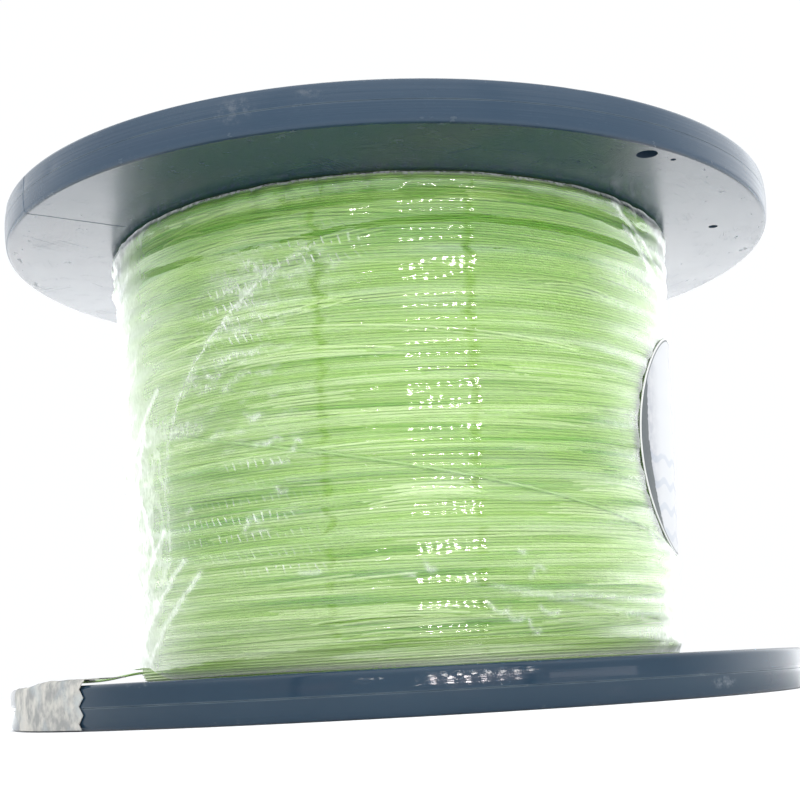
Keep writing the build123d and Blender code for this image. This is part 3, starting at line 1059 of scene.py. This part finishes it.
# Straight pulled creases, each from one angle and height to another
FAINT_CREASES = (
    ((10.7, 20.6), (38.0, 15.6)), ((38.0, 15.6), (64.0, 13.2)),
    ((21.0, 18.2), (66.0, 16.4)), ((26.0, 17.5), (52.0, 13.8)),
)
CREASES = (
    ((-45.5, 27.6), (-66.5, 13.2)), ((-41.0, 25.0), (-60.0, 12.0)), ((-52.0, 33.0), (-72.0, 16.5)),
    ((-58.0, 52.0), (-69.0, 34.0)), ((-62.0, 40.0), (-56.0, 29.0)), ((-52.0, 58.0), (-70.0, 44.0)),
    ((46.0, 87.5), (66.0, 79.0)), ((50.0, 84.0), (70.0, 74.0)), ((56.0, 80.5), (76.0, 66.0)),
    ((120.0, 70.0), (160.0, 22.0)), ((150.0, 80.0), (196.0, 60.0)),
)
SQUIGGLES = 26
FAINT_STRENGTH = 0.45
CREASE_STRENGTH = 0.85
SQUIGGLE_STRENGTH = 0.65
# Patches of short slanted pulls in rows, each an angle, a height, a half width and a half height
DASH_PATCHES = (
    (-32.0, 32.5, 13.0, 4.2), (-27.0, 41.5, 6.0, 1.6), (-22.0, 25.0, 10.0, 1.6),
    (-30.0, 67.0, 7.0, 7.0), (-14.0, 77.0, 8.0, 3.0),
)
DASH_SPACING = 1.5
DASH_ROWS = 3.0
DASH_SLANT = 0.27


def path_distance(across, up, path):
    """The distance on the unrolled film from every point to a path of angle and height corners."""
    scale = math.radians(1) * WOUND_TOP_RADIUS
    nearest = np.full(across.shape, 1e9)
    for (first_angle, first_height), (second_angle, second_height) in zip(path, path[1:]):
        run = np.array([(second_angle - first_angle) * scale, second_height - first_height])
        away_x = across - first_angle * scale
        away_y = up - first_height
        share = np.clip((away_x * run[0] + away_y * run[1]) / (run @ run), 0, 1)
        nearest = np.minimum(nearest, np.hypot(away_x - share * run[0], away_y - share * run[1]))
    return nearest


def rounded_path(path):
    """A path with its corners cut twice, so that it bends smoothly."""
    points = np.array(path)
    for _ in range(2):
        first = points[:-1] * 0.75 + points[1:] * 0.25
        second = points[:-1] * 0.25 + points[1:] * 0.75
        points = np.concatenate([points[:1], np.stack([first, second], 1).reshape(-1, 2), points[-1:]])
    return points


def fold_side(angle, height):
    """1 to the right of the folded edge and -1 to its left."""
    corners = rounded_path(FOLD_EDGE)[::-1]
    return np.where(angle > np.interp(height, corners[:, 1], corners[:, 0]), 1.0, -1.0)


def blob(across, up, angle, height, wide, tall):
    """A soft patch on the unrolled film."""
    scale = math.radians(1) * WOUND_TOP_RADIUS
    return np.exp(-(((across - angle * scale) / wide) ** 2) - ((up - height) / tall) ** 2)


def film_skin():
    """The film's points, with the numbers that its material reads at each."""
    rng = np.random.default_rng(FILM_SEED)
    turn = np.linspace(-math.pi, math.pi, FILM_COLUMNS, endpoint=False)[None, :]
    # The columns are closest together at the front.
    turn = np.degrees(turn - FILM_CROWDING * np.sin(turn))
    # The lower margin stays above the loose tail where the tail comes out from under it.
    over_tail = window(turn, -118.0, -100.0, -64.0, -52.0)
    margin = WOUND_LOW + 0.3 + 0.1 * wave_field(rng, turn, 0, 6, 7, 9.0)
    lowest = margin + (FILM_LOW + 0.2 - margin) * over_tail
    share = np.linspace(0, 1, FILM_ROWS)[:, None]
    height = lowest + (FILM_HIGH - lowest) * share
    angle = np.broadcast_to(turn, height.shape)
    across = np.radians(angle) * WOUND_TOP_RADIUS

    def waves(count, most_round, shortest, stretch=1.0):
        """A fresh wave field over the film."""
        return wave_field(rng, angle, height * stretch, count, most_round, shortest)

    def near(path, width):
        """1 on a path over the film, and less beside it."""
        return bell(path_distance(across, height, path), width)

    # Ripples from top to bottom, as the film was drawn round.
    phase = height / FILM_RIPPLE + 0.3 * waves(8, 5, 22.0)
    strength = 0.6 + 0.4 * ease(waves(9, 7, 9.0), -0.7, 0.8)
    lift = 0.14 * strength * np.sin(2 * math.pi * phase)
    lift += 0.014 * waves(12, 14, 2.4)
    lift += 0.008 * waves(16, 60, 1.5)

    # The folded edge, with a cloudy strip to its right. Both fade towards the middle of the front.
    fold = path_distance(across, height, rounded_path(FOLD_EDGE))
    side = fold * fold_side(angle, height)
    fading = ease(angle, -2.0, -20.0)
    broken = (0.45 + 0.55 * ease(waves(10, 40, 3.0), -0.4, 0.7)) * fading
    haze = 0.15 * bell(fold, 1.1) * broken
    clouds = ease(waves(12, 24, 5.0), -0.6, 1.1)
    cloud = 0.26 * ease(side, -0.3, 0.4) * np.exp(-np.maximum(side, 0) / 7.0) * clouds
    haze += cloud * ease(height, 36.0, 50.0) * ease(angle, 0.0, -14.0)
    haze += 0.3 * blob(across, height, -27.5, 73.5, 6.5, 4.0) * broken
    lift += 0.06 * bell(fold, 0.7) * fading

    # Both sides are crumpled, the left one more.
    left = window(angle, -150.0, -100.0, -74.0, -52.0)
    right = window(angle, 47.0, 68.0, 100.0, 150.0)
    ridge = bell(waves(14, 22, 9.0), 0.16)
    streaks = ease(waves(16, 5, 2.6), -0.8, 1.0)
    haze += left * (0.08 + 0.3 * ridge) + right * (0.22 * streaks + 0.1 * ridge)
    haze += 0.14 * window(angle, 30.0, 52.0, 90.0, 130.0) * ease(streaks, 0.35, 0.9)
    haze += 0.07 * window(angle, -130.0, -90.0, -62.0, -34.0)
    lift += 0.2 * (left + 0.4 * right) * (ridge - 0.3)
    # Left of the folded edge the doubled film is whiter, drawn up in fine upright pleats.
    band = ease(side, 0.2, -0.8) * window(height, 13.0, 19.0, 44.0, 62.0) * ease(angle, -120.0, -95.0)
    drawn = ease(np.abs(waves(14, 60, 3.0, 0.3)), 0.7, 0.0)
    haze += band * (0.04 + 0.16 * drawn)
    # High on the left, long soft folds follow the turns.
    swept = ease(np.sin((height - 0.12 * (angle + 60)) * 2 * math.pi / 3.4 + 1.3 * broken), 0.2, 1.0)
    haze += 0.3 * swept * clouds * blob(across, height, -66.0, 74.0, 12.0, 14.0)
    # The margins stand off in small crumples that break the outline.
    bumps = np.abs(waves(16, 16, 3.4))
    lift += (0.55 * window(angle, -130.0, -105.0, -82.0, -66.0) + 0.25 * right) * bumps

    creased = np.zeros(height.shape)
    for path in FAINT_CREASES:
        creased = np.maximum(creased, FAINT_STRENGTH * near(path, 0.5))
    for path in CREASES:
        lift += 0.13 * near(path, 0.6)
        haze += 0.12 * near(path, 0.9)
        creased = np.maximum(creased, CREASE_STRENGTH * near(path, 0.38))
    for _ in range(SQUIGGLES):
        front = rng.random() < 0.6
        place = rng.uniform(-48, 30) if front else rng.uniform(-180, 180)
        low = rng.uniform(12, 45) if front else rng.uniform(12, 84)
        reach = rng.uniform(1.0, 4.5)
        slant = rng.uniform(-2.2, 2.2)
        path = [(place + share * reach, low + slant * math.sin(share * 2.4))
                for share in np.linspace(0, 1, 8)]
        creased = np.maximum(creased, SQUIGGLE_STRENGTH * near(path, 0.4))

    dashes = sum(blob(across, height, *patch) for patch in DASH_PATCHES)
    crazed = ease(waves(18, 80, 1.6), 0.1, 1.1)
    haze += 0.22 * crazed * blob(across, height, -30.0, 56.0, 12.0, 20.0)

    # The foot and the crown are gathered in pleats, with a milky hem.
    foot = ease(height, lowest + 5.0, lowest)
    crown = ease(height, FILM_HIGH - 6.0, FILM_HIGH)
    sides = np.maximum(left, right)
    pleats = np.abs(waves(10, 40, 8.0, 0.25))
    lift += (foot * 0.2 * sides + crown * 0.35) * np.clip(pleats, 0, 1.4)
    haze += (foot * sides + 0.8 * crown) * 0.14 * bell(pleats, 0.2)
    hem = ease(height, FILM_HIGH - 2.4, FILM_HIGH) + 0.5 * ease(height, lowest + 0.6, lowest)
    haze += hem * (0.12 + 0.45 * left + 0.3 * right)

    under_label = blob(across, height, LABEL_ANGLE, LABEL_HEIGHT, LABEL_RADIUS, LABEL_RADIUS)
    lift = np.clip(lift, -0.1, 1.2) * (1 - 0.85 * ease(under_label, 0.3, 0.5))
    reach = wound_radius(height) + FILM_STAND_OFF + lift - shoulder_drop(height)
    numbers = {"haze": np.clip(haze, 0, 1), "creased": creased, "fold_side": side, "dashes": dashes}
    return around(angle, reach, height), numbers


def clear_film():
    """Clear film: only its mirror share and its milky creases show, the rest lets the line through."""
    film = Shader("clear_film_wrap", {"Base Color": (0.97, 0.99, 0.98)})
    place = film.place()
    haze = film.attribute("haze")
    turn, _, z = film.parts(film.swept(place))
    across = turn * WOUND_TOP_RADIUS
    up = z / MM
    unrolled = film.add("ShaderNodeCombineXYZ", {0: across, 1: up})

    beads = film.step(film.noise(unrolled, 0.9), 0.3, 0.7, 0.2, 0.46)
    creased = film.attribute("creased") * beads
    # The folded edge shows as a fine worn line, all but its foot and its top.
    top = FOLD_EDGE[1][1]
    folded = film.step(abs(film.attribute("fold_side")), 0.4, 0.05)
    folded = folded * film.step(up, FOLD_EDGE[-3][1], FOLD_EDGE[-4][1]) * film.step(up, top - 1, top - 9)
    worn = film.step(film.noise(unrolled, 1.2, 4.0), 0.38, 0.7, 0.03, 0.34)
    creased = film.math("MAXIMUM", creased, folded * worn)

    # Short slanted pulls in rows, as from a comb.
    wander = film.noise(unrolled, 0.16, 2.0) * 1.5
    pulls = film.wave(up * DASH_SLANT + across / DASH_SPACING + wander)
    ranks = film.wave(up / DASH_ROWS + wander * 0.3)
    pulls = film.step(pulls, 0.6, 1.0) * film.step(ranks, -0.2, 0.4)
    pulls = pulls * film.step(film.noise(unrolled, 0.4, 2.0), 0.34, 0.58)
    creased = creased + pulls * film.attribute("dashes") * 0.44

    # Light comes back from both faces of the film.
    fresnel = film.add("ShaderNodeFresnel", {"IOR": 1.48})
    mirror = fresnel * 2.0 / (fresnel + 1.0)
    smeared = film.step(film.noise(place, (30.0, 30.0, 190.0), 4.0, 0.6), 0.46, 0.72, 0.0, 0.07)
    crinkle = film.noise(film.scaled(unrolled, (1.0, 0.55, 1.0)), 1.3, 5.0, 0.7)
    milky = haze * film.step(crinkle, 0.34, 0.66, 0.3, 1.15) + creased
    # The gathered hems at the foot and the top are milky all through.
    foot = film.step(up, WOUND_LOW + 2.0, WOUND_LOW + 0.5)
    crown = film.step(up, FILM_HIGH - 0.9, FILM_HIGH - 0.3)
    hems = foot * 0.14 + crown * film.step(crinkle, 0.35, 0.7, 0.0, 0.2)
    share = mirror + milky + smeared + hems
    film.link("Metallic", 1.0 - film.math("MAXIMUM", foot, crown))
    film.link("Alpha", film.math("MINIMUM", share, FILM_MOST_MILKY))
    film.link("Roughness", film.step(share, 0.14, 0.45) * 0.42 + 0.05)
    fine = film.noise(place, (420.0, 420.0, 700.0), 3.0, 0.6)
    film.bump(fine + crinkle * haze, 0.3, 0.06 * MM)
    return film.material


def make_film():
    """The stretch film, wrapped tight over the winding and puckered at its margins."""
    points, numbers = film_skin()
    film = add_mesh("film_wrap", points, grid_faces(FILM_ROWS, FILM_COLUMNS, wrap_columns=True, flip=True))
    for name, values in numbers.items():
        set_attribute(film, name, values)
    own(film, "clear_film", clear_film(), "stretch_film")
    middle = wound_radius((WOUND_LOW + FILM_HIGH) / 2) + FILM_STAND_OFF
    2 * math.pi * middle * MM


# ---------------------------------------------------------------- loose tail
def make_tail():
    """The loose last turn keeps its CAD tube, in the line's own plastic."""
    line = Shader("lime_monofilament_tail", {"Roughness": 0.28, "IOR": 1.5})
    place = line.place()
    line.link("Base Color", line.mix(line.noise(place, 140.0), (0.4, 0.62, 0.2), (0.52, 0.74, 0.32)))
    line.bump(line.noise(place, 5000.0, 2.0), 0.1, 0.02 * MM)
    dress("line_tail", line.material)


def dress(node, material):
    """A carried-over CAD node gets its material."""
    mesh = frame["nodes"][node].data
    mesh.materials.clear()
    mesh.materials.append(material)


# ---------------------------------------------------------------- round label
def label_paper():
    """Printed label stock: a pale edge, a pale mottled disc with a dark crescent, and plain waves."""
    paper = Shader("label_print", {"IOR": 1.4, "Specular IOR Level": 0.3})
    across = paper.attribute("label_across")
    up = paper.attribute("label_up")
    flat = paper.add("ShaderNodeCombineXYZ", {0: across, 1: up})
    reach = paper.length(flat)
    mottling = paper.noise(flat, 0.42, 5.0, 0.65)
    disc = paper.mix(paper.step(mottling, 0.36, 0.66), (0.28, 0.29, 0.33), (0.4, 0.405, 0.42))
    disc = paper.mix(paper.step(across, -18.5, -11.0), disc, (0.46, 0.47, 0.49))
    waves = paper.math("SINE", paper.math("SINE", across * 0.75) * 0.8 + up * 1.35)
    sea = paper.step(waves, 0.55, 0.75) * paper.step(up, -2.4, -3.0)
    disc = paper.mix(sea * 0.26, disc, (0.16, 0.22, 0.33))
    # The crescent is what a smaller circle, set to the right, leaves dark. It tapers to both ends.
    ink = paper.mix(paper.noise(flat, 1.4, 4.0), (0.035, 0.045, 0.05), (0.07, 0.085, 0.09))
    shifted = paper.add("ShaderNodeVectorMath", {0: flat, 1: (-2.2, -0.4, 0.0)}, operation="ADD")
    from_middle = up * 0.11 + 0.33
    ragged = paper.noise(flat, 0.9, 4.0, 0.7) * 1.4 + paper.length(shifted) - from_middle * from_middle
    colour = paper.mix(paper.step(ragged, 20.2, 20.4), disc, ink)
    colour = paper.mix(paper.step(reach, 20.1, 20.3), colour, ink)
    colour = paper.mix(paper.step(reach, 20.45, 20.6), colour, (0.62, 0.63, 0.62))
    paper.link("Base Color", colour)
    fibres = paper.noise(flat, 9.0, 4.0, 0.6)
    paper.link("Roughness", paper.step(fibres, 0.2, 0.8, 0.34, 0.5))
    paper.bump(fibres, 0.15, 0.03 * MM)
    return paper.material


def make_label():
    """The round sticker, laid over the film and bent with it."""
    reach = np.linspace(LABEL_HUB, 1, LABEL_RINGS)[:, None] * LABEL_RADIUS
    turn = np.linspace(0, 2 * math.pi, LABEL_SPOKES, endpoint=False)[None, :]
    across = reach * np.cos(turn)
    up = reach * np.sin(turn)
    height = LABEL_HEIGHT + up
    skin = wound_radius(height) + LABEL_STAND_OFF
    rng = np.random.default_rng(LABEL_SEED)
    ripple = 0.03 * np.sin(height * 2 * math.pi / 5.3 + 0.4)
    ripple = ripple + 0.02 * wave_field(rng, across * 3, height, 8, 5, 6.0)
    skin = skin + ripple * ease(reach, LABEL_RADIUS, LABEL_RADIUS - 6)
    angle = LABEL_ANGLE + np.degrees(across / skin)
    outer = around(angle, skin, height)
    inner = around(angle, skin - LABEL_THICKNESS, height)
    faces = grid_faces(LABEL_RINGS, LABEL_SPOKES, wrap_columns=True)
    hub = np.arange(LABEL_SPOKES)
    rim = hub + (LABEL_RINGS - 1) * LABEL_SPOKES
    label = two_skins("label_disc", outer, inner, faces, [rim, hub])
    set_attribute(label, "label_across", np.concatenate([across.ravel()] * 2))
    set_attribute(label, "label_up", np.concatenate([up.ravel()] * 2))
    own(label, "label_paper", label_paper(), "round_label")


# ---------------------------------------------------------------- paper tapes
TAPE_THICKNESS = 0.15
TAPE_START = -65.5
TAPE_END = -43.2
TAPE_FOOT = 0.25
TAPE_FLAP = 8.1
TAPE_LIFT = 0.95
TAPE_CLEARANCE = 0.17
TAPE_BEND = 0.7
TOOTH_PITCH = 2.7
TOOTH_DEPTH = 1.15
TAPE_COLUMNS = 110
TAPE_ROWS = 120
TAPE_SEED = 41


def saw(along, pitch):
    """A zigzag from 0 to 1."""
    return 1 - np.abs((along / pitch) % 1 * 2 - 1)


def tape_paper():
    """Crepe paper tape, aged and smudged, thin enough for the dark rim to show through a little."""
    tape = Shader("crepe_tape", {"Roughness": 0.75, "IOR": 1.45})
    place = tape.place()
    swept = tape.swept(place)
    blotches = tape.noise(swept, (30.0, 300.0, 300.0), 4.0, 0.6)
    warm = tape.mix(tape.step(blotches, 0.35, 0.65), (0.24, 0.245, 0.24), (0.47, 0.455, 0.42))
    cool = tape.step(tape.noise(place, 210.0), 0.48, 0.7)
    colour = tape.mix(cool * 0.6, warm, (0.32, 0.36, 0.38))
    smudge = tape.step(tape.noise(place, 420.0, 4.0, 0.7), 0.6, 0.78)
    tape.link("Base Color", tape.mix(smudge * 0.4, colour, (0.12, 0.13, 0.135)))
    tape.bump(tape.noise(swept, (330.0, 1100.0, 1100.0), 3.0, 0.6), 0.5, 0.12 * MM)
    return tape.material


def make_rim_tape(material):
    """The tape on the lower rim: a band on the rim's wall and a flap turned in over the line's end."""
    rng = np.random.default_rng(TAPE_SEED)
    outer = FLANGE_RADIUS + TAPE_THICKNESS
    across = np.linspace(0, 1, TAPE_COLUMNS)[None, :]
    share = ease(across, 0.16, 0.62)
    crest = RIM_HEIGHT + TAPE_CLEARANCE + (TAPE_LIFT - TAPE_CLEARANCE) * share
    band = crest - TAPE_BEND - TAPE_FOOT
    curve = math.pi / 2 * TAPE_BEND
    flap = TAPE_FLAP - TAPE_BEND
    along = np.linspace(0, 1, TAPE_ROWS)[:, None] * (band + curve + flap)
    turned = np.clip((along - band) / TAPE_BEND, 0, math.pi / 2)
    inward = np.maximum(0, along - band - curve)
    height = TAPE_FOOT + np.minimum(along, band) + TAPE_BEND * np.sin(turned)
    reach = outer - TAPE_BEND * (1 - np.cos(turned)) - inward
    # Where it isn't lifted, the flap falls to the flange behind the bend.
    crinkle = 0.05 * wave_field(rng, across * 300, along, 12, 9, 3.0)
    height = height + np.where(inward > 0, np.abs(crinkle) * 1.2 + 0.1 * share * ease(inward, 2.0, 7.0), 0)
    reach = reach + np.where(inward > 0, 0, np.abs(crinkle) + 0.1 * share * ease(along, band, band * 0.4))
    teeth = TOOTH_DEPTH * saw(along, TOOTH_PITCH)
    scale = 1 / (math.radians(1) * np.maximum(reach, 1))
    start = TAPE_START + teeth * scale
    end = TAPE_END - TOOTH_DEPTH * saw(along + 0.4, TOOTH_PITCH) * scale
    # The foot's corner on the left is torn off at a slant.
    start = start + 3.0 * ease(along, 3.2, 0.0) * scale
    points = around(start + (end - start) * across, reach, height)
    tape = thick_sheet("tape_rim_fold", points, TAPE_THICKNESS)
    own(tape, "tape_paper", material, "rim_tape")


def core_plastic(name, first, second):
    """Plain moulded plastic for the barrel and the centre tube, dusty and faintly turned."""
    plastic = Shader(name, {"IOR": 1.5})
    place = plastic.place()
    drawn = plastic.noise(plastic.swept(place), (160.0, 0.0, 40.0))
    plastic.link("Base Color", plastic.mix(plastic.noise(place, 90.0, 5.0, 0.6), first, second))
    plastic.link("Roughness", plastic.step(drawn, 0.25, 0.75, 0.24, 0.42))
    plastic.bump(drawn + plastic.noise(place, 2500.0, 2.0), 0.15, 0.02 * MM)
    return plastic.material


def reach_only(lights, pieces):
    """The lights whose names start so reach only these pieces."""
    reached = bpy.data.collections.new("reached")
    for piece in pieces:
        reached.objects.link(piece)
    for light in bpy.data.objects:
        if light.type == "LIGHT" and light.name.startswith(lights):
            light.light_linking.receiver_collection = reached


def aim_lamps():
    """Light linking keeps the small lamps off the upper flange, and the rim's own lamps on the lower one.
    """
    meshes = [piece for piece in SCENE.collection.all_objects if piece.type == "MESH"]
    reach_only(("lamp", "small_lamp"), [piece for piece in meshes if not piece.name.startswith("upper_")])
    reach_only("rim_", [piece for piece in meshes if piece.name.startswith("lower_flange")])


# ---------------------------------------------------------------- finish
make_camera()
SCENE.view_settings.view_transform = "Standard"
make_lights()
make_floor()
make_flanges()
make_winding()
make_film()
make_tail()
make_label()
tape_material = tape_paper()
make_rim_tape(tape_material)
dress("core_anchor_tape", tape_material)
dress("winding_barrel", core_plastic("barrel_plastic_worn", (0.02, 0.032, 0.042), (0.034, 0.05, 0.062)))
dress("arbor_tube", core_plastic("arbor_plastic_worn", (0.022, 0.034, 0.044), (0.04, 0.056, 0.068)))
aim_lamps()
